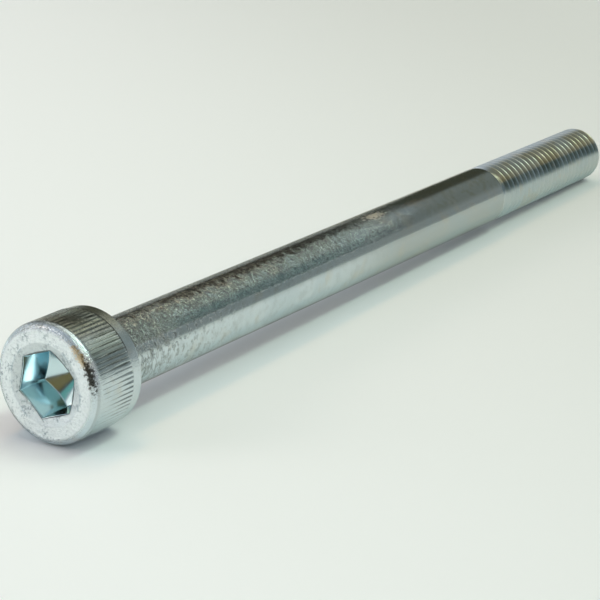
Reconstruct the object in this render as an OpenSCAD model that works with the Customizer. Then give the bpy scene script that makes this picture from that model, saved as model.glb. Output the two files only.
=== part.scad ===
// Hex socket cap screw with a knurled head and a part-threaded shank, lying as it comes to rest.
// Millimetres. The screw is drawn along its own axis, with the bearing face under the head at zero,
// the head below and the tip above. It is then laid on its side along X, with +Z up.

/* [Shank and thread] */
// Nominal diameter of the thread, which is also the plain shank's diameter
thread_d = 6; // [5:0.5:8]
// Pitch of the thread
thread_pitch = 1; // [0.5:0.05:1.25]
// How much smaller than the nominal diameter the thread's crests are
crest_allowance = 0.03; // [0:0.01:0.1]
// Length from the bearing face to the tip
length = 90; // [60:1:140]
// Length of the full thread, the tip's chamfer included
thread_l = 24; // [12:1:40]
// Length over which the thread runs out into the plain shank
runout_l = 0.8; // [0.6:0.1:2]
// Length of the chamfer at the tip
tip_chamfer_l = 1; // [0.4:0.1:2]

/* [Head] */
// Diameter of the head over the ridges of its knurl
head_d = 10; // [9:0.1:13]
// Height of the head
head_h = 6; // [5:0.1:8]
// Radius of the rounding round the top face
rim_r = 0.7; // [0.2:0.05:0.9]
// Height of the plain band between the knurl and the bearing face
band_h = 1.2; // [0.6:0.1:2]
// Chamfer at the outer edge of the bearing face
band_chamfer = 0.2; // [0.05:0.05:0.4]
// Radius of the fillet between the bearing face and the shank
fillet_r = 0.4; // [0.2:0.05:0.6]

/* [Knurl] */
// Number of ridges round the head
ridge_count = 78; // [48:6:102]
// How far the ridges stand out from the plain band
ridge_h = 0.1; // [0.04:0.01:0.2]
// Depth of the grooves between the ridges
groove_depth = 0.14; // [0.06:0.01:0.25]
// Width of a groove at the tops of the ridges
groove_w = 0.2; // [0.1:0.01:0.25]
// Distance from the top face at which the grooves start
groove_start = 0.35; // [0:0.05:1]

/* [Socket] */
// Width across the flats of the hexagon
socket_af = 5; // [4:0.1:6]
// Depth of the hexagon at its corners
socket_depth = 3.2; // [2:0.1:4]
// How far the countersink reaches past the hexagon's corners
countersink_w = 0.5; // [0.1:0.05:0.7]
// Slope of the countersink, from the top face
countersink_angle = 18; // [10:1:45]
// Slope of the socket's conical floor, from the top face
floor_angle = 30; // [5:1:40]
// Turn of the socket about the screw's axis, from straight down
socket_turn = 10; // [0:1:59]

/* [Hidden] */
$fn = 96;
// Ratios of the metric thread form, of the pitch
PITCH_D_DROP = 0.6495;
ROOT_D_DROP = 1.2269;
// How far cutting shapes reach past the surfaces that they cut
over = 0.5;

head_r = head_d / 2;
band_r = head_r - ridge_h;
shank_r = thread_d / 2;
crest_r = (thread_d - crest_allowance) / 2;
neck_r = (thread_d - PITCH_D_DROP * thread_pitch) / 2;
tip_r = (thread_d - ROOT_D_DROP * thread_pitch) / 2;
thread_start = length - thread_l;
shank_l = thread_start - runout_l;
// The sloped end of the ridges starts where the whole ridge ends
ridge_end = band_h + ridge_h;

socket_r = socket_af / 2 / cos(30);
mouth_r = socket_r + countersink_w;
mouth_depth = mouth_r * tan(countersink_angle);
floor_depth = socket_r * tan(floor_angle);

// The lying screw touches the ground with the last whole stretch of its lowest ridge and with the
// thread's last crest, so its axis dips towards the tip.
dip = atan((head_r - crest_r) / (length - tip_chamfer_l + ridge_end));
axis_height = head_r * cos(dip) - ridge_end * sin(dip);
head_reach = (head_h - rim_r) * cos(dip) + (head_r - rim_r) * sin(dip) + rim_r;
tip_reach = length * cos(dip) + tip_r * sin(dip);

// Half section of the head, with its rim rounded, its band stepped in and its lower edge chamfered
module head_section() {
    translate([0, -head_h]) square([head_r - rim_r, head_h]);
    translate([head_r - rim_r, rim_r - head_h]) circle(r = rim_r);
    polygon([
        [0, rim_r - head_h],
        [head_r, rim_r - head_h],
        [head_r, -ridge_end],
        [band_r, -band_h],
        [band_r, -band_chamfer],
        [band_r - band_chamfer, 0],
        [0, 0]
    ]);
}

// Half section of the shank, the thread's run-out, the thread up to its crests, and the tip
module shank_section() {
    runout_step = runout_l * 0.4;
    polygon([
        [0, -over],
        [shank_r, -over],
        [shank_r, shank_l],
        [neck_r, shank_l + runout_step],
        [neck_r, thread_start - runout_step],
        [crest_r, thread_start],
        [crest_r, length - tip_chamfer_l],
        [tip_r, length],
        [0, length]
    ]);
}

// Half section of the ring that the fillet under the head adds
module fillet_section() {
    difference() {
        translate([shank_r - over, -over]) square([fillet_r + over, fillet_r + over]);
        translate([shank_r + fillet_r, fillet_r]) circle(r = fillet_r);
    }
}

// Straight V grooves between the ridges, open past the ridges' tops, with a ridge straight down
module knurl_grooves() {
    flare = (groove_depth + over) / groove_depth;
    translate([0, 0, groove_start - head_h])
        linear_extrude(head_h - groove_start - band_h)
            for (i = [0 : ridge_count - 1])
                rotate((i + 0.5) * 360 / ridge_count)
                    polygon([
                        [head_r - groove_depth, 0],
                        [head_r + over, groove_w / 2 * flare],
                        [head_r + over, -groove_w / 2 * flare]
                    ]);
}

// Hexagonal socket with a conical floor, and the countersink round its mouth
module socket() {
    translate([0, 0, -head_h]) {
        intersection() {
            rotate(socket_turn)
                translate([0, 0, -over])
                    cylinder(r = socket_r, h = socket_depth + floor_depth + 2 * over, $fn = 6);
            rotate_extrude()
                polygon([
                    [0, -over],
                    [socket_r + over, -over],
                    [socket_r + over, socket_depth - over * tan(floor_angle)],
                    [0, socket_depth + floor_depth]
                ]);
        }
        rotate_extrude()
            polygon([
                [0, -over],
                [mouth_r + over / tan(countersink_angle), -over],
                [0, mouth_depth]
            ]);
    }
}

// The whole screw along its own axis
module screw() {
    difference() {
        union() {
            rotate_extrude() head_section();
            rotate_extrude() shank_section();
            rotate_extrude() fillet_section();
        }
        knurl_grooves();
        socket();
    }
}

module cap_screw() {
    color("lightsteelblue")
        translate([(head_reach - tip_reach) / 2, 0, axis_height])
            rotate([0, 90 + dip, 0])
                screw();
}

cap_screw();
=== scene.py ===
"""Visual model of a long hex socket cap screw with a knurled head, lying on a pale floor.

The screw is one closed surface. It is worked out in the screw's own frame, in metres: the axis is z, the
bearing face under the head is at zero, the head is below it and the tip above, and x points down when the
screw lies.
"""

import math
from functools import reduce
from types import SimpleNamespace

import bpy
import numpy as np
from bpy.props import FloatProperty, FloatVectorProperty, IntProperty, PointerProperty
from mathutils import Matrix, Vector


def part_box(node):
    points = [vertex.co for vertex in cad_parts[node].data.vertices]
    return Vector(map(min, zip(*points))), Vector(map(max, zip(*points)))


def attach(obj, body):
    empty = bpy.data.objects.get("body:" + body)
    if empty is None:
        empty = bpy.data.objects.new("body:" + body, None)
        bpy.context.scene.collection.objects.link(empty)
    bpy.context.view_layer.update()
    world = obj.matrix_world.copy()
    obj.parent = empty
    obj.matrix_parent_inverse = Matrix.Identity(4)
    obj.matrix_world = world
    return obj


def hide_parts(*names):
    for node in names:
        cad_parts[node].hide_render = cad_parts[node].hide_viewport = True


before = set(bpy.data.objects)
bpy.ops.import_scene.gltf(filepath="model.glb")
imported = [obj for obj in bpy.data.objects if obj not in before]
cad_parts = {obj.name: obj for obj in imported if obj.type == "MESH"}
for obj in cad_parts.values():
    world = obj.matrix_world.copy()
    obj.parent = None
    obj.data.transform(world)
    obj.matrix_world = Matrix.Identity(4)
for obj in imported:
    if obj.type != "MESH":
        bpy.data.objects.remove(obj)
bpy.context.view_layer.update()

bl_info = {
    "name": "Hex Socket Cap Screw",
    "version": (1, 0, 0),
    "blender": (4, 5, 0),
    "location": "3D View > Sidebar > Cap Screw",
    "description": "Makes a plated hex socket cap screw, a pale floor and soft lights",
    "category": "Add Mesh",
}

NODE = "cap_screw"
MM = 0.001
SEED = 11

# Offsets of the head's columns from the middle of a groove, in ridge pitches
RIDGE_OFFSETS = (0.0, 0.05, 0.11, 0.17, 0.25, 0.5, 0.75, 0.83, 0.89, 0.95)
# Offsets of the thread's rows from the middle of a crest, in thread pitches
THREAD_OFFSETS = (0.0, 0.055, 0.1, 0.25, 0.4, 0.5, 0.6, 0.75, 0.9, 0.945)
# The head has this many columns for each column of the shank
COLUMN_RATIO = 6
# How far the neck's diameter is under the shank's, how deep the thread's roots lie under its crests, and how
# deep the end face's edge lies under the shank's surface, all in thread pitches
NECK_DEPTH = 0.6495
ROOT_DEPTH = 0.6134
END_DEPTH = 0.61345
# Fall of the radius for each length along the axis, at the shank's shoulder and at the tip's chamfer
SHOULDER_SLOPE = 0.75
CHAMFER_SLOPE = 0.6
# Vertices within this distance are one
MERGE_DISTANCE = 0.05e-3 * MM
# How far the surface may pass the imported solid's box
BOX_ALLOWANCE = 0.02 * MM

# The camera's place and aim are fitted to the photo
CAMERA_LENS = 119.70
CAMERA_PLACE = (-0.158007, -0.094057, 0.060196)
CAMERA_AIM = (0.79746, 0.51259, -0.31828)
# Place, aim, width and height of the two lamps
KEY_LAMP = ((0.095, -0.218, 0.45), (0.0, 0.218, -0.45), 0.27, 0.08)
TOP_LAMP = ((0.02, 0.11, 0.48), (0.0, -0.11, -0.48), 0.30, 0.06)
FLOOR_HALF = 4.0


def metres(name, default, description):
    """A size in metres that the user may change."""
    return FloatProperty(name=name, description=description, default=default, min=0.0, unit="LENGTH",
                         precision=5)


def degrees(name, default, description):
    """An angle that the user may change, given here in degrees."""
    return FloatProperty(name=name, description=description, default=math.radians(default), subtype="ANGLE")


def amount(name, default, description, high=1.0):
    """A plain number from zero upwards that the user may change."""
    return FloatProperty(name=name, description=description, default=default, min=0.0, max=high)


def tint(name, default, description):
    """A linear colour that the user may change."""
    return FloatVectorProperty(name=name, description=description, default=default, size=3,
                               subtype="COLOR", min=0.0, max=1.0)


class CapScrewSizes(bpy.types.PropertyGroup):
    """Sizes of the screw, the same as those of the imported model."""

    head_diameter: metres("Head diameter", 0.010, "Over the ridges of the knurl")
    head_height: metres("Head height", 0.006, "From the bearing face to the top face")
    rim_radius: metres("Rim radius", 0.0007, "Rounding round the top face")
    band_height: metres("Band height", 0.0012, "Plain band between the knurl and the bearing face")
    ridge_height: metres("Ridge height", 0.0001, "How far the ridges stand out from the plain band")
    band_chamfer: metres("Band chamfer", 0.0002, "Chamfer at the outer edge of the bearing face")
    fillet_radius: metres("Fillet radius", 0.0004, "Fillet between the bearing face and the shank")
    ridge_count: IntProperty(name="Ridges", description="Ridges round the head", default=78, min=24)
    groove_depth: metres("Groove depth", 0.00008, "Greatest depth of the grooves between the ridges")
    groove_width: metres("Groove width", 0.00012, "Width of a groove at the tops of the ridges")
    socket_width: metres("Socket width", 0.005, "Across the flats of the hexagon")
    socket_depth: metres("Socket depth", 0.0032, "Depth of the hexagon at its corners")
    socket_rounding: metres("Socket rounding", 0.0001, "Rounding of the hexagon's corners")
    countersink_reach: metres("Countersink reach", 0.0005, "Past the hexagon's corners")
    countersink_slope: degrees("Countersink slope", 18.0, "From the top face")
    floor_slope: degrees("Floor slope", 30.0, "Slope of the socket's conical floor, from the top face")
    socket_turn: degrees("Socket turn", 10.0, "Turn of the hexagon from straight down")
    shank_diameter: metres("Shank diameter", 0.006, "Also the nominal diameter of the thread")
    length: metres("Length", 0.090, "From the bearing face to the tip")
    thread_length: metres("Thread length", 0.024, "Length of the full thread")
    runout_length: metres("Run-out length", 0.0008, "Over which the thread runs out into the shank")
    pitch: metres("Pitch", 0.001, "Pitch of the thread")
    crest_allowance: metres("Crest allowance", 0.00003, "By which the crests are under size")
    tip_chamfer: metres("Tip chamfer", 0.001, "Length of the chamfer at the tip")


class CapScrewFinish(bpy.types.PropertyGroup):
    """Colours and values of the zinc plating, and of the reflections, highlights and shade painted on it."""

    bright_zinc: tint("Bright zinc", (0.66, 0.74, 0.77), "Colour of the head and of its end")
    smooth_zinc: tint("Smooth zinc", (0.50, 0.545, 0.545), "Colour of the smooth shank")
    # Forming marks' own duller tone, darkened further as painted shade
    formed_and_shaded_zinc: tint("Formed zinc", (0.34, 0.37, 0.34), "Colour of the forming marks")
    thread_zinc: tint("Thread zinc", (0.57, 0.63, 0.63), "Colour of the thread")
    cool_tint: tint("Cool tint", (0.46, 0.57, 0.62), "Blue tint in patches of the plating")
    warm_tint: tint("Warm tint", (0.60, 0.56, 0.46), "Straw tint in patches of the plating")
    # Dull patches of the plate, and painted shade in pits, creases, knurl grooves, thread roots, between
    # forming strokes and on the rim
    dull_and_shade_tint: tint("Dull tint", (0.18, 0.20, 0.18), "Colour of pits, grooves and forming marks")
    # Painted dark reflections and shade on the upper shank and knurl, on the rim and at the knurl's step
    painted_dark_tint: tint("Stain tint", (0.035, 0.034, 0.028), "Colour of dark stains")
    # Real scuffs, and painted tan glints on the forming marks near the head
    scuff_and_glint_tint: tint("Tan tint", (0.80, 0.70, 0.56), "Colour of scuffs and light marks")
    # Painted dark bluish reflections on the thread, along the knurl and at the forming patch's lower edge
    teal_reflection_tint: tint("Teal tint", (0.15, 0.22, 0.23), "Colour of dark bluish runs")
    # Painted warm reflection and shade on the thread's upper side
    straw_reflection_tint: tint("Straw tint", (0.34, 0.33, 0.23), "Colour of the upper side of the thread")
    # Painted olive reflection on the knurl's upper side, the shank's top edge and the shank near the thread
    olive_reflection_tint: tint("Olive tint", (0.36, 0.36, 0.26), "Colour of the upper side of the knurl")
    # Painted highlight: a light run along the knurl
    lit_tint: tint("Lit tint", (0.90, 1.0, 0.86), "Colour of the light run along the knurl")
    socket_tint: tint("Socket tint", (0.61, 0.76, 0.79), "Colour of the socket's walls and floor")
    face_tint: tint("Face tint", (0.93, 1.0, 1.0), "Colour of the pressed top face")
    face_shade: tint("Face shade", (0.36, 0.44, 0.47), "Darker specks of the pressed top face")
    # Painted gold reflection on the rim
    gold_reflection_tint: tint("Gold tint", (0.60, 0.42, 0.16), "Colour of a smear on the rim")
    smooth_roughness: amount("Smooth roughness", 0.15, "Of the smooth part of the shank")
    thread_roughness: amount("Thread roughness", 0.31, "Of the thread")
    side_roughness: amount("Side roughness", 0.20, "Of the knurl and the shank near the head")
    face_roughness: amount("Face roughness", 0.36, "Of the pressed top face")
    socket_roughness: amount("Socket roughness", 0.12, "Of the socket's walls")


class CapScrewStage(bpy.types.PropertyGroup):
    """Floor and lights round the screw."""

    # The floor blends from floor_colour to floor_shade as a painted light falloff, darker beyond the tip
    floor_colour: tint("Floor", (0.91, 0.955, 0.98), "Colour of the floor on the head's side")
    floor_shade: tint("Floor shade", (0.68, 0.71, 0.70), "Colour of the floor on the tip's side")
    room_colour: tint("Room", (0.36, 0.39, 0.44), "Colour and brightness of the plain room")
    key_strength: amount("Key lamp", 9.5, "Brightness of the narrow lamp overhead", 100.0)
    key_colour: tint("Key colour", (0.75, 1.0, 0.81), "Colour of the narrow lamp overhead")
    top_strength: amount("Top lamp", 4.0, "Brightness of the weak lamp", 100.0)
    top_colour: tint("Top colour", (1.0, 0.42, 0.05), "Colour of the weak lamp")


# Shapes of the screw

def unit(vectors):
    """Each vector divided by its own length."""
    return vectors / np.linalg.norm(vectors, axis=-1, keepdims=True)


def corner_arc(before, corner, after, radius, steps):
    """Rounds one corner of a half section, for every column at once.

    The arc's centre lies on the corner's bisector, radius / sin(half angle) from the corner. Its ends touch
    the two sides, radius / tan(half angle) from the corner. The points between are spherical blends of the
    two end directions, by equal steps of angle.
    """
    to_before = unit(before - corner)
    to_after = unit(after - corner)
    half = 0.5 * np.arccos(np.clip((to_before * to_after).sum(-1, keepdims=True), -1.0, 1.0))
    centre = corner + unit(to_before + to_after) * radius / np.sin(half)
    first = corner + to_before * radius / np.tan(half) - centre
    last = corner + to_after * radius / np.tan(half) - centre
    sweep = math.pi - 2.0 * half
    share = np.linspace(0.0, 1.0, steps)[:, None, None]
    return centre + (np.sin((1.0 - share) * sweep) * first + np.sin(share * sweep) * last) / np.sin(sweep)


def straight(start, end, shares):
    """Points on the straight line from start to end, at the given shares of its length, for every column."""
    return start + (end - start) * np.asarray(shares)[:, None, None]


def soft_min(first, second, width):
    """The smaller of two values, with the change from one to the other rounded over about the given width."""
    return 0.5 * (first + second - np.sqrt((first - second) ** 2 + width ** 2))


def section_point(radius, depth, count):
    """One corner of the half section, for every column."""
    point = np.empty((count, 2))
    point[:, 0], point[:, 1] = radius, depth
    return point


def head_angles(sizes):
    """Angles of the head's columns: for each groove, its middle plus the fixed offsets."""
    grooves = np.arange(sizes.ridge_count)[:, None] + 0.5 + np.asarray(RIDGE_OFFSETS)
    return (grooves * 2.0 * math.pi / sizes.ridge_count).ravel()


def hexagon_radius(from_corner, apothem, rounding):
    """Distance from the axis to a hexagon with rounded corners, by the angle from the nearest corner.

    On the flats it is apothem / cos(30 degrees - angle). Near a corner it is the far crossing with the
    rounding's circle, whose centre is at c = (apothem - rounding) / cos(30 degrees): c cos(angle) +
    sqrt(rounding^2 - c^2 sin^2(angle)).
    """
    angle = np.abs(from_corner)
    sixth = math.pi / 6.0
    centre = (apothem - rounding) / math.cos(sixth)
    touch = math.atan2(rounding * math.sin(sixth), centre + rounding * math.cos(sixth))
    flat = apothem / np.cos(sixth - angle)
    inside = np.clip(rounding ** 2 - (centre * np.sin(angle)) ** 2, 0.0, None)
    return np.where(angle < touch, centre * np.cos(angle) + np.sqrt(inside), flat)


def knurled(points, angles, sizes, rng):
    """Cuts the knurl's grooves into rows of the head's side.

    A groove's surface is a V with a rounded bottom: radius = bottom + slope * (sqrt(s^2 + e^2) - e), where s
    is the arc from the groove's middle and e its rounding. The groove starts at the rim, is worn shallow over
    part of its length, and ends at the plain band. The head is the soft minimum of this surface and the plain
    half section. Depth and place vary from groove to groove, and the depth swells and sinks along each.
    """
    head_r = sizes.head_diameter / 2.0
    pitch = 2.0 * math.pi / sizes.ridge_count
    number = np.round(angles / pitch - 0.5).astype(int) % sizes.ridge_count
    shift = rng.normal(0.0, 0.02, sizes.ridge_count) * pitch
    strength = 1.0 + np.clip(rng.normal(0.0, 0.22, sizes.ridge_count), -0.45, 0.3)
    phase = rng.uniform(0.0, 2.0 * math.pi, sizes.ridge_count)
    upper = rng.uniform(-0.1, 0.65, sizes.ridge_count)
    arc = np.abs((angles - shift[number]) / pitch % 1.0 - 0.5) * pitch * head_r
    blunt = 0.012 * MM
    slope = sizes.groove_depth / (sizes.groove_width / 2.0)

    ridge_end = sizes.head_height - sizes.band_height - sizes.ridge_height
    run = np.clip((points[..., 1] - sizes.rim_radius) / (ridge_end - sizes.rim_radius), 0.0, 1.0)
    swell = 1.0 + 0.25 * np.sin(9.0 * run + phase[number])
    worn = 0.22 + 0.78 * np.clip((run - upper[number]) / 0.35, 0.0, 1.0)
    depth = sizes.groove_depth * strength[number] * swell * worn * np.clip(run / 0.08, 0.0, 1.0)
    valley = head_r - depth + slope * (np.sqrt(arc ** 2 + blunt ** 2) - blunt)
    valley = valley + 0.9 * np.clip(points[..., 1] - ridge_end, 0.0, None)
    valley = valley + np.clip(sizes.rim_radius - points[..., 1], 0.0, None)
    cut = points.copy()
    cut[..., 0] = soft_min(points[..., 0], valley, 0.006 * MM)
    return cut


def head_rows(sizes, rng):
    """Rows of the head from the socket's floor to the bearing face, as (radius, depth below the top face).

    Each column's half section is a polyline from the floor's middle over the wall, the countersink, the face,
    the rim, the side, the band and the chamfer, with rounded corners. Also gives each row's angles, which
    turn with the hexagon in the socket, and how many rows the socket's floor and walls have.
    """
    angles = head_angles(sizes)
    count = len(angles)
    head_r = sizes.head_diameter / 2.0
    band_r = head_r - sizes.ridge_height
    seat_r = sizes.shank_diameter / 2.0 + 2.0 * sizes.fillet_radius
    apothem = sizes.socket_width / 2.0
    corner_r = apothem / math.cos(math.pi / 6.0)
    mouth_r = corner_r + sizes.countersink_reach
    corner = (sizes.socket_turn - angles + math.pi / 6.0) % (math.pi / 3.0) - math.pi / 6.0
    twist = corner[np.argmin(np.abs(corner))]
    from_corner = (angles + twist - sizes.socket_turn + math.pi / 6.0) % (math.pi / 3.0) - math.pi / 6.0
    hexagon = hexagon_radius(from_corner, apothem, sizes.socket_rounding)
    band_top = sizes.head_height - sizes.band_height

    corners = [section_point(radius, depth, count) for radius, depth in (
        (0.0, sizes.socket_depth + corner_r * math.tan(sizes.floor_slope)),
        (hexagon, sizes.socket_depth + (corner_r - hexagon) * math.tan(sizes.floor_slope)),
        (hexagon, (mouth_r - hexagon) * math.tan(sizes.countersink_slope)),
        (mouth_r, 0.0),
        (head_r, 0.0),
        (head_r, band_top - sizes.ridge_height),
        (band_r, band_top),
        (band_r, sizes.head_height - sizes.band_chamfer),
        (band_r - sizes.band_chamfer, sizes.head_height),
        (seat_r, sizes.head_height),
    )]
    # Radius and steps of the rounding at each corner between the ends
    roundings = ((0.07 * MM, 4), (0.06 * MM, 3), (0.20 * MM, 4), (sizes.rim_radius, 13), (0.06 * MM, 3),
                 (0.06 * MM, 3), (0.08 * MM, 3), (0.08 * MM, 3))
    # Rows on the straight stretch before each corner, and before the end, as shares of its length
    stretches = ((0.15, 0.5, 0.85, 0.97), (0.04, 0.5, 0.96), (0.15, 0.85), (0.08, 0.3, 0.6, 0.92),
                 (0.01, 0.06, 0.14, 0.25, 0.38, 0.52, 0.66, 0.8, 0.92, 0.985), (),
                 (0.06, 0.35, 0.7, 0.94), (), (0.08, 0.5, 1.0))
    parts, last = [], corners[0]
    for number, (radius, steps) in enumerate(roundings):
        arc = corner_arc(*corners[number:number + 3], radius, steps)
        parts += [straight(last, arc[0], stretches[number]), arc]
        last = arc[-1]
    parts.append(straight(last, corners[-1], stretches[-1]))

    # The first six parts are the floor, the walls and the countersink, and the knurl cuts the rest
    inner = np.concatenate(parts[:6])
    rows = np.concatenate([inner, knurled(np.concatenate(parts[6:]), angles, sizes, rng)])
    turned = np.zeros(len(rows))
    turned[:len(inner)] = 1.0
    turned[len(inner):len(inner) + 4] = (0.92, 0.7, 0.4, 0.08)
    wall_count = sum(len(part) for part in parts[:4])
    return rows, angles + twist * turned[:, None], wall_count


def thread_start(sizes):
    """Where the thread's run-out starts, from the bearing face."""
    return sizes.length - sizes.thread_length - sizes.runout_length


def crest_radius(sizes):
    """Distance from the axis to the thread's crests."""
    return (sizes.shank_diameter - sizes.crest_allowance) / 2.0


def thread_radius(height, angle, sizes):
    """Distance from the axis to the thread's surface.

    With u the distance from the nearest crest in pitches, the depth under the crest is (|u| - 1/16) pitch /
    tan(30 degrees), rounded where it meets the flat crest and the root. From the shank's shoulder a cone
    falls to the blank's neck, and over the next pitch and a half the crests rise from the neck and the roots
    sink into it. The tip's chamfer is a cone that meets the thread as a soft minimum.
    """
    crest_r = crest_radius(sizes)
    neck_r = (sizes.shank_diameter - NECK_DEPTH * sizes.pitch) / 2.0
    root_depth = ROOT_DEPTH * sizes.pitch
    start = thread_start(sizes)
    turns = (height - start) / sizes.pitch - angle / (2.0 * math.pi)
    from_crest = np.abs((turns + 0.5) % 1.0 - 0.5)
    flank = (from_crest - 0.0625) * sizes.pitch / math.tan(math.pi / 6.0)
    depth = soft_min(-soft_min(-flank, 0.0, 0.03 * MM), root_depth, 0.05 * MM)
    depth = np.clip(depth, 0.0, root_depth)
    full = crest_r - depth
    risen = np.clip((height - start - 0.2 * sizes.pitch) / (1.3 * sizes.pitch), 0.0, 1.0)
    risen = risen * risen * (3.0 - 2.0 * risen)
    grown = neck_r + (full - neck_r) * risen
    shoulder = sizes.shank_diameter / 2.0 - SHOULDER_SLOPE * (height - start)
    body = -soft_min(-grown, -shoulder, 0.03 * MM)
    cone = crest_r - CHAMFER_SLOPE * (height - sizes.length + sizes.tip_chamfer)
    return soft_min(body, cone, 0.03 * MM)


def faces(*corners):
    """Faces whose corners have the given vertex numbers, each an array or one number for all."""
    return np.stack(np.broadcast_arrays(*corners), -1).reshape(-1, len(corners))


def ring(first, count, ahead=0):
    """Numbers of a closed ring's vertices, which start at first, or of those some steps ahead of each."""
    return first + (np.arange(count) + ahead) % count


def ring_faces(rows, columns, first):
    """Quads between the rows of a closed grid whose vertices start at first, row after row."""
    row = np.arange(rows - 1)[:, None] * columns
    here, there = row + ring(first, columns), row + ring(first, columns, 1)
    return faces(here, there, there + columns, here + columns)


def round_axis(radii, heights, angles):
    """Points at the given distances from the axis, heights and angles, row after row."""
    radii, heights, angles = np.broadcast_arrays(radii, heights, angles)
    return np.stack([radii * np.cos(angles), radii * np.sin(angles), heights], -1).reshape(-1, 3)


def screw_surface(sizes, rng):
    """The whole screw in its own frame: vertices, quads, triangles, each vertex's radius and socket mask.

    Head, shank and tip are grids of rows round the axis. The thread's rows follow its helix: a row's height
    is start + pitch * (row's turn + angle / full turn), held between the thread's two ends, so the last
    column of a row meets the first column of the row one turn further on.
    """
    rows, head_angle, wall_count = head_rows(sizes, rng)
    shank_r = sizes.shank_diameter / 2.0
    head_count = rows.shape[1]
    count = head_count // COLUMN_RATIO
    angle = head_angle[-1, ::COLUMN_RATIO]
    start = thread_start(sizes)
    head_z = rows[..., 1] - sizes.head_height

    seat = section_point(shank_r + 2.0 * sizes.fillet_radius, 0.0, count)
    inside = section_point(shank_r, 0.0, count)
    along = section_point(shank_r, start, count)
    shank_end = section_point(shank_r - SHOULDER_SLOPE * 0.3 * MM, start + 0.3 * MM, count)
    fillet = corner_arc(seat, inside, along, sizes.fillet_radius, 8)
    shoulder = corner_arc(inside, along, shank_end, 0.12 * MM, 5)
    shank = np.concatenate([
        straight(seat, fillet[0], (0.0, 0.5, 0.92)), fillet,
        straight(fillet[-1], shoulder[0], np.linspace(0.004, 0.996, 16)), shoulder,
    ])

    low, high = float(shoulder[-1, 0, 1]), sizes.length
    turns = np.arange(-1.0, math.ceil((high - low) / sizes.pitch) + 1.0)[:, None] + THREAD_OFFSETS
    round_share = (angle - angle[0]) / (2.0 * math.pi)
    height = start + sizes.pitch * (turns.ravel()[:, None] + round_share)
    height = np.clip(height, low, high)
    radius = thread_radius(height, angle - angle[0], sizes)
    radius = np.where(height <= low, shoulder[-1, 0, 0], radius)
    per_turn = len(THREAD_OFFSETS)

    end_shares = np.array((0.985, 0.95, 0.85, 0.6, 0.3))
    end_radius = radius[-1] * end_shares[:, None]
    end_height = high - 0.06 * MM * np.clip((0.95 - end_shares) / 0.35, 0.0, 1.0) ** 2

    blocks = [
        round_axis(0.0, head_z[0, 0] + rows[0, 0, 0] * math.tan(sizes.floor_slope), np.zeros(1)),
        round_axis(rows[..., 0], head_z, head_angle),
        round_axis(shank[..., 0], shank[..., 1], angle),
        round_axis(radius, height, angle),
        round_axis(end_radius, end_height[:, None], angle),
        round_axis(0.0, end_height[-1], np.zeros(1)),
    ]
    vertices = np.concatenate(blocks)
    head_first, shank_first, thread_first, end_first, pole = np.cumsum([len(block) for block in blocks[:5]])
    last_head, last_thread, last_end = shank_first - head_count, end_first - count, pole - count

    # In the thread's grid, the last column meets the first column one turn further on
    here = np.arange(len(height) - per_turn - 1)[:, None] * count + ring(thread_first, count)
    there = here + np.where(np.arange(count) == count - 1, (per_turn - 1) * count + 1, 1)
    quads = [
        ring_faces(len(rows), head_count, head_first),
        ring_faces(len(shank), count, shank_first),
        ring_faces(len(end_shares), count, end_first),
        faces(here, there, there + count, here + count),
        faces(ring(last_thread, count), ring(last_thread, count, 1), ring(end_first, count, 1),
              ring(end_first, count)),
    ]
    # Under the head, each shank vertex meets the head columns that are nearest to it
    column = np.arange(head_count)
    owner = (column // COLUMN_RATIO + (column % COLUMN_RATIO >= COLUMN_RATIO // 2)) % count
    middle = last_head + np.arange(count) * COLUMN_RATIO + COLUMN_RATIO // 2
    triangles = [
        faces(0, ring(head_first, head_count, 1), ring(head_first, head_count)),
        faces(ring(last_head, head_count), ring(last_head, head_count, 1), shank_first + owner),
        faces(middle, ring(shank_first, count, 1), ring(shank_first, count)),
        faces(ring(last_end, count), ring(last_end, count, 1), pole),
    ]
    radial = np.hypot(vertices[:, 0], vertices[:, 1])
    socket = np.zeros(len(vertices))
    socket[:head_first + wall_count * head_count] = 1.0
    return vertices, np.concatenate(quads), np.concatenate(triangles), radial, socket


def merged(vertices, quads, triangles, extras):
    """Merges vertices that fall together, and drops or shortens the faces that this flattens."""
    keys = np.round(vertices / MERGE_DISTANCE).astype(np.int64)
    _, first, inverse = np.unique(keys, axis=0, return_index=True, return_inverse=True)
    inverse = inverse.ravel()
    quads, triangles = inverse[quads], inverse[triangles]
    same = quads == np.roll(quads, -1, axis=1)
    whole = quads[~same.any(1)]
    one = same.sum(1) == 1
    slim = quads[one]
    skip = same[one].argmax(1)
    order = (skip[:, None] + np.arange(1, 4)) % 4
    triangles = np.concatenate([triangles, np.take_along_axis(slim, order, 1)])
    flat = (triangles == np.roll(triangles, -1, axis=1)).any(1)
    return vertices[first], whole, triangles[~flat], [extra[first] for extra in extras]


def resting_pose(sizes):
    """The lying screw's dip towards the tip, and the place of the bearing face's centre.

    It touches the floor with the lowest ridge's lower end and with the thread's last crest, and the middle of
    its length is at x = 0.
    """
    head_r = sizes.head_diameter / 2.0
    ridge_end = sizes.band_height + sizes.ridge_height
    dip = math.atan((head_r - crest_radius(sizes)) / (sizes.length - sizes.tip_chamfer + ridge_end))
    tip_r = sizes.shank_diameter / 2.0 - END_DEPTH * sizes.pitch
    head_reach = ((sizes.head_height - sizes.rim_radius) * math.cos(dip)
                  + (head_r - sizes.rim_radius) * math.sin(dip) + sizes.rim_radius)
    tip_reach = sizes.length * math.cos(dip) + tip_r * math.sin(dip)
    height = head_r * math.cos(dip) - ridge_end * math.sin(dip)
    return dip, ((head_reach - tip_reach) / 2.0, 0.0, height)


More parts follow.
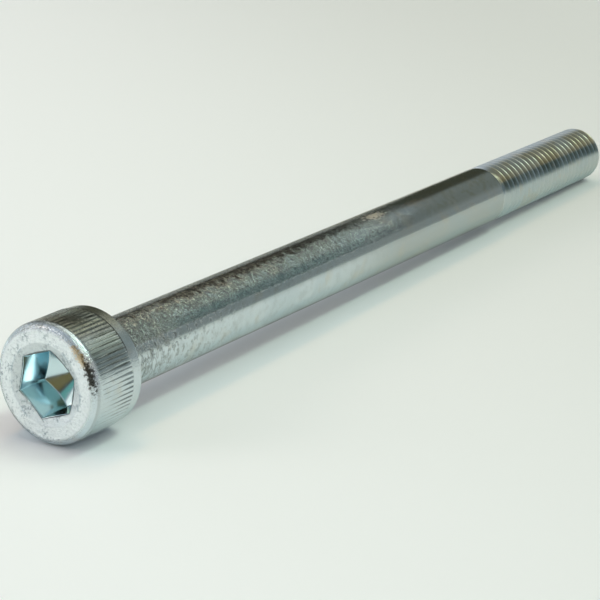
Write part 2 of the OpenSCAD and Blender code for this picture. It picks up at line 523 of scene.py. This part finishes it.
def laid_down(vertices, sizes):
    """Turns the screw from its own frame to its resting place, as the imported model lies."""
    dip, (base_x, _, base_z) = resting_pose(sizes)
    x, y, z = vertices.T
    return np.stack([
        z * math.cos(dip) - x * math.sin(dip) + base_x,
        y,
        base_z - x * math.cos(dip) - z * math.sin(dip),
    ], -1)


def enclosed_volume(vertices, quads, triangles):
    """Sum of the signed volumes from the origin to each triangle, above zero when faces point outwards."""
    split = np.concatenate([triangles, quads[:, [0, 1, 2]], quads[:, [0, 2, 3]]])
    a, b, c = vertices[split[:, 0]], vertices[split[:, 1]], vertices[split[:, 2]]
    return float((a * np.cross(b, c)).sum() / 6.0)


# Materials

class NodeWriter:
    """Adds nodes to one tree and joins them, so that a material reads as a list of steps."""

    def __init__(self, tree):
        tree.nodes.clear()
        self.tree = tree
        self.place = 0

    def add(self, kind, inputs=None, **settings):
        """Adds one node, sets its settings, and links or sets its inputs by name or number."""
        node = self.tree.nodes.new(kind)
        node.location = (self.place % 12 * 190, -(self.place // 12) * 320)
        self.place += 1
        for name, value in settings.items():
            setattr(node, name, value)
        for name, value in (inputs or {}).items():
            if isinstance(value, bpy.types.NodeSocket):
                self.tree.links.new(value, node.inputs[name])
            else:
                node.inputs[name].default_value = value
        return node

    def group(self, tree, **inputs):
        """Places a node group with its own values, and gives its one output."""
        return self.add("ShaderNodeGroup", inputs, node_tree=tree).outputs[0]

    def math(self, operation, first, second=0.0):
        """One Math node."""
        return self.add("ShaderNodeMath", {0: first, 1: second}, operation=operation).outputs[0]

    def product(self, *values):
        """The product of several numbers."""
        return reduce(lambda first, second: self.math("MULTIPLY", first, second), values)

    def total(self, *values):
        """The sum of several numbers."""
        return reduce(lambda first, second: self.math("ADD", first, second), values)

    def most(self, *values):
        """The largest of several numbers."""
        return reduce(lambda first, second: self.math("MAXIMUM", first, second), values)

    def less(self, value):
        """One minus a number."""
        return self.math("SUBTRACT", 1.0, value)

    def vectors(self, operation, *values):
        """One Vector Math node, whose result is a number for a length or a dot product."""
        node = self.add("ShaderNodeVectorMath", dict(enumerate(values)), operation=operation)
        return node.outputs["Value" if operation in ("LENGTH", "DOT_PRODUCT") else "Vector"]

    def ramp(self, value, low, high, to_low=0.0, to_high=1.0, smooth=True):
        """A Map Range node, smooth by default: low becomes to_low and high becomes to_high."""
        ends = {"Value": value, "From Min": low, "From Max": high, "To Min": to_low, "To Max": to_high}
        kind = "SMOOTHSTEP" if smooth else "LINEAR"
        return self.add("ShaderNodeMapRange", ends, interpolation_type=kind).outputs["Result"]

    def between(self, value, start, full, fade, end):
        """A mask that rises from start to full and falls from fade to end."""
        return self.product(self.ramp(value, start, full), self.ramp(value, end, fade))

    def mix(self, share, first, second):
        """Blends two colours, each a socket or three numbers."""
        first, second = (colour if isinstance(colour, bpy.types.NodeSocket) else (*colour, 1.0)
                         for colour in (first, second))
        return self.add("ShaderNodeMix", {0: share, 6: first, 7: second}, data_type="RGBA").outputs[2]

    def layers(self, colour, *coats):
        """Lays coats over a colour in order, each a share and the coat's own colour."""
        for share, coat in coats:
            colour = self.mix(share, colour, coat)
        return colour

    def blend(self, share, first, second):
        """Blends two numbers."""
        return self.add("ShaderNodeMix", {0: share, 2: first, 3: second}, data_type="FLOAT").outputs[0]

    def noise(self, vector, scale, detail=2.0, roughness=0.5, distortion=0.0):
        """A Noise Texture's value, about 0.5 on average."""
        values = {"Vector": vector, "Scale": scale, "Detail": detail, "Roughness": roughness,
                  "Distortion": distortion}
        return self.add("ShaderNodeTexNoise", values).outputs[0]

    def stretched(self, vector, scale, shift=(0.0, 0.0, 0.0)):
        """Coordinates scaled along each axis, then moved."""
        return self.add("ShaderNodeMapping", {"Vector": vector, "Location": shift, "Scale": scale}).outputs[0]


def new_material(name):
    """An empty material with nodes, and the writer of its tree."""
    material = bpy.data.materials.new(name)
    material.use_nodes = True
    return material, NodeWriter(material.node_tree)


def new_group(name, inputs, outputs):
    """A shader node group with named inputs and outputs, its writer and its input node."""
    group = bpy.data.node_groups.new(name, "ShaderNodeTree")
    for label, kind, default in inputs:
        socket = group.interface.new_socket(name=label, in_out="INPUT", socket_type=kind)
        if default is not None:
            socket.default_value = default
    for label, kind in outputs:
        group.interface.new_socket(name=label, in_out="OUTPUT", socket_type=kind)
    writer = NodeWriter(group)
    return group, writer, writer.add("NodeGroupInput")


def strokes_group():
    """Short forming strokes laid round the screw, as a height from 0 to 1.

    Each of the two sets is noise that is drawn out round the axis, and the higher of the two shows.
    """
    group, writer, given = new_group(
        "Forming Strokes",
        [("Vector", "NodeSocketVector", None), ("Low", "NodeSocketFloat", 0.4),
         ("High", "NodeSocketFloat", 0.62)],
        [("Height", "NodeSocketFloat")])
    heights = []
    for scale, shift in (((2.3, 2.3, 4.4), 0.0), ((3.4, 3.4, 3.6), 7.3)):
        drawn = writer.stretched(given.outputs["Vector"], scale, (0.0, 0.0, shift))
        field = writer.noise(drawn, 1.0, detail=3.0, roughness=0.7, distortion=0.3)
        heights.append(writer.ramp(field, given.outputs["Low"], given.outputs["High"]))
    writer.add("NodeGroupOutput", {"Height": writer.most(*heights)})
    return group


def mottle_group():
    """Soft uneven patches, as a mask from 0 to 1."""
    group, writer, given = new_group(
        "Uneven Patches",
        [("Vector", "NodeSocketVector", None), ("Scale", "NodeSocketFloat", 1.0),
         ("Low", "NodeSocketFloat", 0.4), ("High", "NodeSocketFloat", 0.6)],
        [("Mask", "NodeSocketFloat")])
    field = writer.noise(given.outputs["Vector"], given.outputs["Scale"], detail=3.0, roughness=0.6)
    mask = writer.ramp(field, given.outputs["Low"], given.outputs["High"])
    writer.add("NodeGroupOutput", {"Mask": mask})
    return group


def spot(writer, own, grain, turn, radius, along, reach):
    """Mask of one ragged oval spot on the screw's surface.

    The mask falls from 1 to 0 between half of the oval and its edge, and the noise in grain frays it.
    """
    a = math.radians(turn)
    centre = (-radius * math.cos(a), -radius * math.sin(a), along)
    offset = writer.add("ShaderNodeMapping", {"Vector": own, "Location": centre, "Rotation": (0.0, 0.0, a),
                                              "Scale": reach}, vector_type="TEXTURE").outputs[0]
    frayed = writer.total(writer.vectors("LENGTH", offset), writer.product(grain, 0.9))
    return writer.ramp(frayed, 1.45, 0.85)


# Bands round the screw: the turns in degrees at which each starts, is full, begins to fade and ends, and
# whether its edges are plain, wavy or frayed. A turn is counted from straight up towards the camera's side.
# Except gritty, which only roughens, the bands place painted reflections, highlights and shade; upper_patch
# also places the forming marks.
TURN_BANDS = {
    "upper_patch": ("wavy", -75, -62, 62, 67),
    "low_edge": ("plain", 40, 52, 60, 64),
    "grey": ("plain", 58, 66, 74, 80),
    "tan": ("frayed", -4, 4, 18, 36),
    "sliver": ("plain", -60, -45, -14, -6),
    "far_olive": ("plain", -10, 6, 52, 66),
    "olive": ("wavy", -40, -20, 28, 68),
    "gritty": ("wavy", -10, 2, 24, 38),
    "knurl_stain": ("wavy", -3, 6, 18, 30),
    "shade": ("wavy", 12, 24, 32, 46),
    "low_shade": ("wavy", 46, 58, 68, 82),
    "lit_run": ("wavy", 38, 48, 54, 64),
    "dark_run": ("wavy", 46, 60, 68, 84),
    "step": ("plain", -8, 0, 58, 66),
    "rim": ("frayed", -64, -44, -6, 10),
    "straw": ("plain", -6, 14, 50, 66),
    "thread_dark": ("plain", 50, 58, 70, 84),
}
# Regions along the axis: each is none at the first place and full at the second, in millimetres from the
# bearing face
REGIONS = {
    "shank": (0.1, 0.5),
    "head": (0.3, -0.3),
    "near_head": (16.0, 2.0),
    "bright_end": (46.0, 30.0),
    "thread": (64.9, 65.6),
    "rough_end": (56.0, 24.0),
    "wrinkled_end": (9.0, 2.0),
    "pitted_end": (20.0, 5.0),
    "stained_end": (48.0, 27.0),
    "past_neck": (3.0, 12.0),
    "tan_end": (40.0, 6.0),
    "rim": (-5.1, -5.4),
    "rim_top": (-5.2, -5.6),
    "under_rim": (-5.4, -5.1),
}
# Ragged spots: turn in degrees, distance from the axis and place along it in millimetres, and half sizes
# outwards, round the axis and along it. The two scuffs are marks on the plate; the others are painted dark
# and gold reflections.
SPOTS = {
    "blot": (10.0, 5.0, -3.6, (1.0, 1.1, 1.7)),
    "rim_stain": (70.0, 4.66, -5.88, (0.5, 1.65, 0.36)),
    "rim_gold": (49.0, 4.52, -5.95, (0.45, 1.4, 0.22)),
    "scuff": (10.0, 3.0, 42.4, (1.0, 0.62, 1.9)),
    "far_scuff": (18.0, 3.0, 49.5, (1.0, 0.5, 2.6)),
}


def plate_places(writer, sizes):
    """Coordinates on the plate in the screw's own frame, in millimetres and degrees, and masks by place."""
    dip, base = resting_pose(sizes)
    at = SimpleNamespace()
    place = writer.add("ShaderNodeTexCoord").outputs["Object"]
    at.own = writer.add("ShaderNodeMapping", {"Vector": place, "Location": base,
                                              "Rotation": (0.0, math.pi / 2.0 + dip, 0.0),
                                              "Scale": (MM, MM, MM)}, vector_type="TEXTURE").outputs[0]
    for name in ("matt", "socket", "recess"):
        setattr(at, name, writer.add("ShaderNodeAttribute", attribute_name=name).outputs["Fac"])
    at.outside = writer.less(at.socket)
    axes = writer.add("ShaderNodeSeparateXYZ", {0: at.own}).outputs
    at.along = axes["Z"]
    at.radius = writer.vectors("LENGTH", writer.vectors("MULTIPLY", at.own, (1.0, 1.0, 0.0)))
    turn = writer.math("ARCTAN2", writer.product(axes["Y"], -1.0), writer.product(axes["X"], -1.0))
    turn = writer.math("DEGREES", turn)
    ragged = writer.noise(at.own, 1.3, detail=3.0)
    at.turns = {"plain": turn, "wavy": writer.total(turn, writer.product(ragged, 6.0)),
                "frayed": writer.total(turn, writer.ramp(ragged, 0.25, 0.75, -14.0, 14.0, smooth=False))}
    at.band = SimpleNamespace(**{name: writer.between(at.turns[edge], *ends)
                                 for name, (edge, *ends) in TURN_BANDS.items()})
    at.region = SimpleNamespace(**{name: writer.ramp(at.along, *ends) for name, ends in REGIONS.items()})
    return at


def plate_patterns(writer, at, sizes):
    """Noise patterns of the plate, and the parts of the plate that they fill."""
    ramp, product, noise, stretched = writer.ramp, writer.product, writer.noise, writer.stretched
    strokes, mottle = strokes_group(), mottle_group()
    own, band, region = at.own, at.band, at.region
    made = SimpleNamespace()

    # Forming marks lie in a long patch on the upper side of the shank and in another underneath
    under = ramp(writer.math("ABSOLUTE", at.turns["wavy"]), 136.0, 144.0)
    made.formed = product(region.shank, writer.most(band.upper_patch, under), region.rough_end)
    made.stroke = writer.group(strokes, Vector=own, Low=0.48, High=0.62)
    made.flecks = writer.group(mottle, Vector=own, Scale=5.0, Low=0.40, High=0.60)
    made.marks = writer.most(product(made.stroke, 0.9), product(made.flecks, 0.5))
    made.lows = writer.less(made.marks)
    made.streaks = writer.group(mottle, Vector=stretched(own, (5.0, 5.0, 0.8)), Low=0.42, High=0.58)
    crease = noise(stretched(own, (0.8, 0.8, 2.4)), 1.0, detail=3.0, distortion=0.6)
    crease = ramp(writer.math("ABSOLUTE", writer.math("SUBTRACT", crease, 0.5)), 0.035, 0.0)
    made.crease = product(crease, region.shank, region.wrinkled_end)
    pits = writer.group(mottle, Vector=stretched(own, (1.9, 1.9, 2.6)), Low=0.54, High=0.61)
    made.pits = product(pits, region.shank, region.pitted_end)
    made.warm = writer.group(mottle, Vector=own, Scale=0.35, Low=0.52, High=0.70)
    made.cool = writer.group(mottle, Vector=own, Scale=0.22, Low=0.45, High=0.62)
    made.dull = writer.group(mottle, Vector=own, Scale=1.1, Low=0.45, High=0.65)
    made.face_grain = noise(own, 4.0, detail=4.0, roughness=0.7)
    made.fray = ramp(made.face_grain, 0.35, 0.65)

    # The knurl's side, its length and its grooves, each a little wider than the cut itself
    made.side = product(region.head, at.outside)
    made.knurl = writer.between(at.along, -5.4, -5.0, -1.8, -1.2)
    wave = writer.math("COSINE", product(at.turns["plain"], math.radians(sizes.ridge_count)))
    stripe = product(ramp(wave, 0.5, -0.25), writer.blend(made.streaks, 1.0, 0.55))
    made.groove = writer.most(at.recess, stripe)
    made.gritty = product(band.gritty, made.knurl, made.side)
    made.turns_of_thread = product(region.thread, ramp(at.radius, 1.9, 2.4))
    for name, (turn, radius, along, reach) in SPOTS.items():
        setattr(made, name, spot(writer, own, made.fray, turn, radius, along, reach))
    return made


def plate_relief(writer, at, made):
    """Normal of the plate's fine relief, from heights in millimetres."""
    product, noise, stretched, region = writer.product, writer.noise, writer.stretched, at.region
    swell = noise(stretched(at.own, (0.35, 0.35, 0.16)), 1.0, detail=1.0)
    ripple = noise(stretched(at.own, (1.3, 1.3, 1.0)), 1.0, detail=2.0)
    grain = noise(at.own, 7.0, detail=3.0, roughness=0.65)
    face_patches = noise(at.own, 2.2, detail=4.0, roughness=0.75)
    on_rim = product(region.rim, writer.ramp(at.radius, 4.2, 4.4))
    height = writer.total(
        product(made.stroke, made.formed, 0.030),
        product(made.flecks, made.formed, 0.014),
        product(made.crease, -0.035),
        product(made.pits, -0.022),
        product(swell, 0.04),
        product(ripple, region.shank, region.near_head, 0.028),
        product(grain, at.outside, 0.0014),
        product(made.streaks, made.side, 0.003),
        product(made.streaks, made.gritty, 0.009),
        product(made.face_grain, made.gritty, 0.020),
        product(made.face_grain, at.matt, 0.100),
        product(face_patches, at.matt, 0.085),
        product(made.face_grain, made.side, 0.018),
        product(made.face_grain, on_rim, 0.040),
    )
    return writer.add("ShaderNodeBump", {"Strength": 1.0, "Distance": MM, "Height": height}).outputs[0]


def plate_colour(writer, at, made, finish):
    """Plate colour: zinc, tints, scuffs, painted reflections and shade, then socket, face and rim."""
    ramp, between, product, most = writer.ramp, writer.between, writer.product, writer.most
    band, region, dull, shank = at.band, at.region, made.dull, at.region.shank
    # Painted dark reflection along the shank's upper side, fading out away from the head
    frayed_edge = writer.total(at.turns["frayed"], product(region.near_head, 9.0))
    top_dark_reflection = product(ramp(at.turns["plain"], -6.0, 0.0), ramp(frayed_edge, 26.0, 8.0), shank,
                        region.stained_end, writer.blend(made.lows, 0.55, 1.3))
    # Painted grey reflection band along the shank, plus random dull patches, both near the head's end
    greyed = writer.total(product(band.grey, region.bright_end, shank, 0.3),
                          product(dull, shank, region.bright_end, 0.14))
    # Painted dark bluish reflection along the forming patch's lower edge
    low_edge = product(band.low_edge, made.formed, region.past_neck, writer.blend(dull, 0.75, 1.0))
    # Painted tan glints on the forming marks near the head, on the shank's upper side
    tan = product(band.tan, region.tan_end, made.marks, made.formed)
    # Painted olive reflections: the knurl's upper side, the shank's top edge and the shank near the thread
    olive = most(product(band.olive, made.side, region.under_rim),
                 product(band.sliver, shank, writer.less(region.thread)),
                 product(band.far_olive, between(at.along, 44.0, 56.0, 66.0, 66.5),
                         writer.blend(dull, 0.3, 0.7)))
    # Painted shade in the knurl's grooves on two bands round the head
    shade = product(most(band.shade, band.low_shade), made.knurl, made.groove, made.side)
    # Painted dark reflection in the knurl's grooves on its upper side
    knurl_stain = product(band.knurl_stain, made.knurl, made.groove, made.side)
    # Painted shade in the knurl's grooves, at its step and in the thread's roots; weaker on the thread, none
    # on its lower side
    thread_recess = ramp(writer.math("ABSOLUTE", at.turns["plain"]), 92.0, 66.0, 0.0, 0.4)
    recess = product(at.recess, writer.blend(region.thread, 0.35, thread_recess))

    mouth_ring = product(at.matt, ramp(at.radius, 3.46, 3.36))
    mouth_line = product(at.matt, between(at.radius, 3.30, 3.40, 3.44, 3.54), dull)
    specks = product(ramp(made.face_grain, 0.46, 0.60), writer.blend(dull, 0.15, 0.9))
    face = writer.mix(specks, finish.face_tint, finish.face_shade)
    face = writer.layers(face, (product(mouth_ring, 0.25), finish.face_shade),
                         (product(mouth_line, 0.6), finish.cool_tint))
    # Painted shade on the rim's upper part
    rim_shade = product(band.rim, ramp(at.radius, 4.35, 4.6), region.rim_top,
                        writer.blend(made.fray, 0.4, 0.75))
    # Painted dark line at the step from the knurl to the plain band: painted shade
    step_line = product(between(at.along, -1.44, -1.32, -1.24, -1.16), band.step, made.side)
    return writer.layers(
        writer.mix(region.bright_end, finish.smooth_zinc, finish.bright_zinc),
        (region.thread, finish.thread_zinc),
        # Painted warm reflection on the thread's upper side, then a painted dark bluish reflection band lower
        # down
        (product(made.turns_of_thread, band.straw), finish.straw_reflection_tint),
        (product(made.turns_of_thread, band.thread_dark, 0.95), finish.teal_reflection_tint),
        (product(olive, 0.9), finish.olive_reflection_tint),
        # Forming marks' duller tone, partly painted shade
        (product(made.formed, 0.8), finish.formed_and_shaded_zinc),
        (product(made.cool, 0.3), finish.cool_tint),
        (product(made.warm, 0.4), finish.warm_tint),
        # Painted dark bluish run along the knurl
        (product(band.dark_run, made.knurl, 0.5), finish.teal_reflection_tint),
        # Painted highlight: a light run along the knurl
        (product(band.lit_run, made.knurl, made.side, 0.6), finish.lit_tint),
        # Painted shade in the gaps between the forming strokes
        (product(made.lows, made.formed, 0.85), finish.dull_and_shade_tint),
        (product(low_edge, 0.95), finish.teal_reflection_tint),
        (greyed, finish.dull_and_shade_tint),
        (top_dark_reflection, finish.painted_dark_tint),
        (product(tan, 0.5), finish.scuff_and_glint_tint),
        # Painted shade in the pits and creases near the head
        (product(made.pits, 0.5), finish.dull_and_shade_tint),
        (product(made.crease, 0.6), finish.dull_and_shade_tint),
        (most(product(made.scuff, 0.65), product(made.far_scuff, 0.4)), finish.scuff_and_glint_tint),
        (product(shade, 0.75), finish.dull_and_shade_tint),
        # Painted dark reflection: the knurl's upper grooves and a blot there
        (most(knurl_stain, product(made.blot, 0.7)), finish.painted_dark_tint),
        (recess, finish.dull_and_shade_tint),
        (at.socket, finish.socket_tint),
        (at.matt, face),
        (rim_shade, finish.dull_and_shade_tint),
        # Painted gold reflection on the rim
        (product(made.rim_gold, 0.7), finish.gold_reflection_tint),
        # Painted dark reflection on the rim
        (product(made.rim_stain, 0.95), finish.painted_dark_tint),
        (product(step_line, 0.9), finish.painted_dark_tint),
    )


def plate_roughness(writer, at, made, finish):
    """Roughness of the plate by region, higher in dull patches, on the knurl's gritty part and on a scuff."""
    rough = writer.blend(made.formed, finish.smooth_roughness, finish.side_roughness)
    for share, value in ((at.region.thread, finish.thread_roughness), (made.side, finish.side_roughness),
                         (at.socket, finish.socket_roughness), (at.matt, finish.face_roughness)):
        rough = writer.blend(share, rough, value)
    return writer.total(rough, writer.product(made.dull, 0.04), writer.product(made.gritty, 0.08),
                        writer.product(made.scuff, 0.28))


def plated_material(sizes, finish):
    """Bright zinc plate: cool grey metal with patchy tints, forming marks, painted reflections and shade, and
    a matt top face.
    """
    material, writer = new_material("bright_zinc_plate")
    at = plate_places(writer, sizes)
    made = plate_patterns(writer, at, sizes)
    shader = writer.add("ShaderNodeBsdfPrincipled", {
        "Base Color": plate_colour(writer, at, made, finish),
        "Metallic": writer.ramp(at.matt, 0.0, 1.0, 1.0, 0.75),
        "Roughness": plate_roughness(writer, at, made, finish),
        "Normal": plate_relief(writer, at, made),
        "Specular Tint": (0.86, 0.86, 0.83, 1.0),
    })
    writer.add("ShaderNodeOutputMaterial", {"Surface": shader.outputs[0]})
    return material


def floor_material(stage):
    """Pale paper, a little whiter on the far side of the head than beyond the tip: a painted light falloff.
    """
    material, writer = new_material("pale_floor")
    place = writer.add("ShaderNodeTexCoord").outputs["Object"]
    # Painted light falloff: the floor darkens from the head's far side towards the tip
    across = writer.vectors("DOT_PRODUCT", place, (-0.74, 0.67, 0.0))
    colour = writer.mix(writer.ramp(across, -0.075, 0.055), stage.floor_shade, stage.floor_colour)
    patches = writer.noise(place, 12.0, detail=2.0)
    colour = writer.mix(writer.product(patches, 0.05), colour, stage.floor_shade)
    shader = writer.add("ShaderNodeBsdfPrincipled",
                        {"Base Color": colour, "Roughness": 0.9, "Specular IOR Level": 0.2})
    writer.add("ShaderNodeOutputMaterial", {"Surface": shader.outputs[0]})
    return material


def direction(azimuth, elevation):
    """Unit vector at an azimuth from +X and an elevation, both in degrees."""
    a, e = math.radians(azimuth), math.radians(elevation)
    return Vector((math.cos(e) * math.cos(a), math.cos(e) * math.sin(a), math.sin(e)))


# Soft windows of the room, each laid over the ones before: middle azimuth, half width, lower and upper
# elevation, softness of the edges, all in degrees, and colour
ROOM_WINDOWS = (
    (-92, 38, -90, 41, 6, (0.54, 0.54, 0.58)),
    (-35, 20, -90, 38, 6, (0.31, 0.34, 0.33)),
    (-15, 30, 15, 34, 5, (0.23, 0.26, 0.25)),
    (27, 15, -90, 38, 5, (0.07, 0.075, 0.055)),
    (52, 11, 8, 62, 5, (0.22, 0.22, 0.20)),
    (106, 44, -90, 46, 6, (0.72, 0.76, 0.82)),
    (106, 44, -90, 18, 6, (1.80, 1.92, 2.10)),
    (94, 10, 6, 26, 5, (0.40, 0.41, 0.42)),
    (143, 9, -90, 17, 4, (0.45, 0.70, 0.78)),
    (149, 5.5, 30, 36, 3, (1.50, 1.45, 1.35)),
    (131, 12.5, 18.5, 32, 3, (5.00, 4.30, 4.00)),
    (-162, 32, -90, 29, 6, (0.04, 0.042, 0.035)),
    (-168, 11, 3, 25, 5, (0.20, 0.155, 0.07)),
    (167, 7, 24, 34, 4, (0.14, 0.38, 0.34)),
    (-72, 54, 46, 74, 4, (1.30, 1.30, 1.22)),
    (-2, 22, 47, 74, 4, (1.60, 1.58, 1.40)),
    (42, 20, 52, 76, 5, (1.90, 1.85, 1.60)),
    (-136, 13, 29, 45, 5, (1.70, 1.55, 1.15)),
)


def soft_window(writer, level, rise, middle, half, low, high, soft):
    """Mask of one soft window of the room.

    It is the product of three smooth steps: of the cosine between the ray's azimuth and the window's middle,
    and of the ray's elevation at the window's lower and upper edges.
    """
    cosine = writer.vectors("DOT_PRODUCT", level, direction(middle, 0.0))
    across = writer.ramp(cosine, math.cos(math.radians(half + soft)), math.cos(math.radians(half - soft)))
    above = writer.ramp(rise, math.radians(low - soft), math.radians(low + soft))
    below = writer.ramp(rise, math.radians(high + soft), math.radians(high - soft))
    return writer.product(across, above, below)


def make_room(stage):
    """The plain room round the screw: one grey with soft lighter and darker windows laid over it."""
    world = bpy.data.worlds.new("plain_room")
    bpy.context.scene.world = world
    world.use_nodes = True
    writer = NodeWriter(world.node_tree)
    vector = writer.add("ShaderNodeTexCoord").outputs["Generated"]
    level = writer.vectors("NORMALIZE", writer.vectors("MULTIPLY", vector, (1.0, 1.0, 0.0)))
    rise = writer.math("ARCSINE", writer.add("ShaderNodeSeparateXYZ", {0: vector}).outputs["Z"])
    colour = writer.layers(stage.room_colour, *(
        (soft_window(writer, level, rise, *window), shade) for *window, shade in ROOM_WINDOWS))
    shader = writer.add("ShaderNodeBackground", {"Color": colour, "Strength": 1.0})
    writer.add("ShaderNodeOutputWorld", {"Surface": shader.outputs[0]})


def aimed(name, data, place, aim):
    """Puts a lamp or a camera in the scene, at a place and facing along aim."""
    holder = bpy.data.objects.new(name, data)
    holder.location = place
    holder.rotation_mode = "QUATERNION"
    holder.rotation_quaternion = Vector(aim).to_track_quat("-Z", "Y")
    bpy.context.scene.collection.objects.link(holder)
    return holder


def soft_box(name, place, aim, width, height, brightness, colour):
    """A rectangular lamp. One of radiance L and area A has the power pi A L."""
    lamp = bpy.data.lights.new(name, "AREA")
    lamp.shape = "RECTANGLE"
    lamp.size, lamp.size_y = width, height
    lamp.energy = brightness * math.pi * width * height
    lamp.color = colour
    return aimed(name, lamp, place, aim)


def plate_masks(sizes, radial, along, socket):
    """Each vertex's masks for the plate: the matt top face, the socket, and how deep it lies in a groove.

    The matt mask falls outwards over 0.3 mm of the rim. A groove's mask grows with the distance inwards from
    the ridges or the crests, and the step from the knurl to the plain band counts as a groove too. The colour
    uses the groove's mask to place painted shade.
    """
    head_r = sizes.head_diameter / 2.0
    top = -sizes.head_height
    matt = np.clip((head_r - sizes.rim_radius + 0.34 * MM - radial) / (0.3 * MM), 0.0, 1.0)
    matt = matt * (along < top + 0.3 * MM) * (1.0 - socket)
    on_side = radial > 0.9 * head_r
    on_knurl = (along > top + 0.3 * MM) & (along < -sizes.band_height) & on_side
    knurl = np.clip((head_r - radial) / (0.4 * sizes.groove_depth), 0.0, 1.0) * on_knurl
    from_step = np.abs(along + sizes.band_height + 0.5 * sizes.ridge_height)
    step = np.clip(1.0 - from_step / (0.12 * MM), 0.0, 1.0) * on_side
    on_thread = (along > thread_start(sizes) + 0.3 * MM) & (along < sizes.length - 0.01 * MM)
    thread = np.clip((crest_radius(sizes) - radial) / (0.6 * sizes.pitch), 0.0, 1.0) * on_thread
    return {"matt": matt, "socket": socket, "recess": np.maximum(np.maximum(knurl, step), thread)}


class CAPSCREW_OT_add_screw(bpy.types.Operator):
    """Add the plated screw in place of the plain solid"""

    bl_idname = "capscrew.add_screw"
    bl_label = "Add Screw"

    def execute(self, context):
        sizes = context.scene.cap_screw_sizes
        vertices, quads, triangles, radial, socket = screw_surface(sizes, np.random.default_rng(SEED))
        vertices, quads, triangles, (radial, socket, along) = merged(
            vertices, quads, triangles, [radial, socket, vertices[:, 2]])
        placed = laid_down(vertices, sizes)
        if enclosed_volume(placed, quads, triangles) < 0.0:
            raise RuntimeError("the screw's faces point inwards")
        low, high = (np.array(corner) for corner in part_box(NODE))
        if max((low - placed.min(0)).max(), (placed.max(0) - high).max()) > BOX_ALLOWANCE:
            raise RuntimeError("the screw reaches outside the packed solid's box")

        mesh = bpy.data.meshes.new("cap_screw_plated")
        mesh.from_pydata(placed.tolist(), [], quads.tolist() + triangles.tolist())
        mesh.polygons.foreach_set("use_smooth", np.ones(len(mesh.polygons), bool))
        for name, values in plate_masks(sizes, radial, along, socket).items():
            mesh.attributes.new(name, "FLOAT", "POINT").data.foreach_set("value", values.astype(np.float32))
        mesh.validate()
        mesh.update()
        piece = bpy.data.objects.new("cap_screw_plated", mesh)
        mesh.materials.append(plated_material(sizes, context.scene.cap_screw_finish))
        context.scene.collection.objects.link(piece)
        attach(piece, "root")
        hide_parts("cap_screw")
        return {"FINISHED"}


class CAPSCREW_OT_add_stage(bpy.types.Operator):
    """Add the pale floor, the soft lights, the room and the camera"""

    bl_idname = "capscrew.add_stage"
    bl_label = "Add Stage"

    def execute(self, context):
        scene = context.scene
        stage = scene.cap_screw_stage
        mesh = bpy.data.meshes.new("floor")
        corners = ((-1, -1), (1, -1), (1, 1), (-1, 1))
        mesh.from_pydata([(x * FLOOR_HALF, y * FLOOR_HALF, 0.0) for x, y in corners], [], [(0, 1, 2, 3)])
        mesh.materials.append(floor_material(stage))
        floor = bpy.data.objects.new("floor", mesh)
        scene.collection.objects.link(floor)

        make_room(stage)
        soft_box("key_lamp", *KEY_LAMP, stage.key_strength, stage.key_colour)
        soft_box("top_lamp", *TOP_LAMP, stage.top_strength, stage.top_colour).visible_glossy = False

        camera = bpy.data.cameras.new("camera")
        camera.lens = CAMERA_LENS
        camera.sensor_width = 36.0
        camera.clip_start = 0.01
        camera.clip_end = 20.0
        scene.camera = aimed("camera", camera, CAMERA_PLACE, CAMERA_AIM)
        scene.view_settings.view_transform = "Standard"
        return {"FINISHED"}


class CAPSCREW_PT_panel(bpy.types.Panel):
    """Sizes, finish, stage and buttons of the cap screw"""

    bl_idname = "CAPSCREW_PT_panel"
    bl_label = "Cap Screw"
    bl_space_type = "VIEW_3D"
    bl_region_type = "UI"
    bl_category = "Cap Screw"

    def draw(self, context):
        scene = context.scene
        for group in (scene.cap_screw_sizes, scene.cap_screw_finish, scene.cap_screw_stage):
            box = self.layout.box()
            for name in group.bl_rna.properties.keys():
                if name not in ("rna_type", "name"):
                    box.prop(group, name)
        self.layout.operator("capscrew.add_screw")
        self.layout.operator("capscrew.add_stage")


CLASSES = (CapScrewSizes, CapScrewFinish, CapScrewStage, CAPSCREW_OT_add_screw, CAPSCREW_OT_add_stage,
           CAPSCREW_PT_panel)


def register():
    """Registers the classes and hangs the three groups of settings on the scene."""
    for cls in CLASSES:
        bpy.utils.register_class(cls)
    bpy.types.Scene.cap_screw_sizes = PointerProperty(type=CapScrewSizes)
    bpy.types.Scene.cap_screw_finish = PointerProperty(type=CapScrewFinish)
    bpy.types.Scene.cap_screw_stage = PointerProperty(type=CapScrewStage)


def unregister():
    """Takes the settings and classes away again."""
    del bpy.types.Scene.cap_screw_stage
    del bpy.types.Scene.cap_screw_finish
    del bpy.types.Scene.cap_screw_sizes
    for cls in reversed(CLASSES):
        bpy.utils.unregister_class(cls)


def main():
    """Registers the classes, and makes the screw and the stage."""
    register()
    bpy.ops.capscrew.add_screw()
    bpy.ops.capscrew.add_stage()
    bpy.context.view_layer.update()


if __name__ == "__main__":
    main()
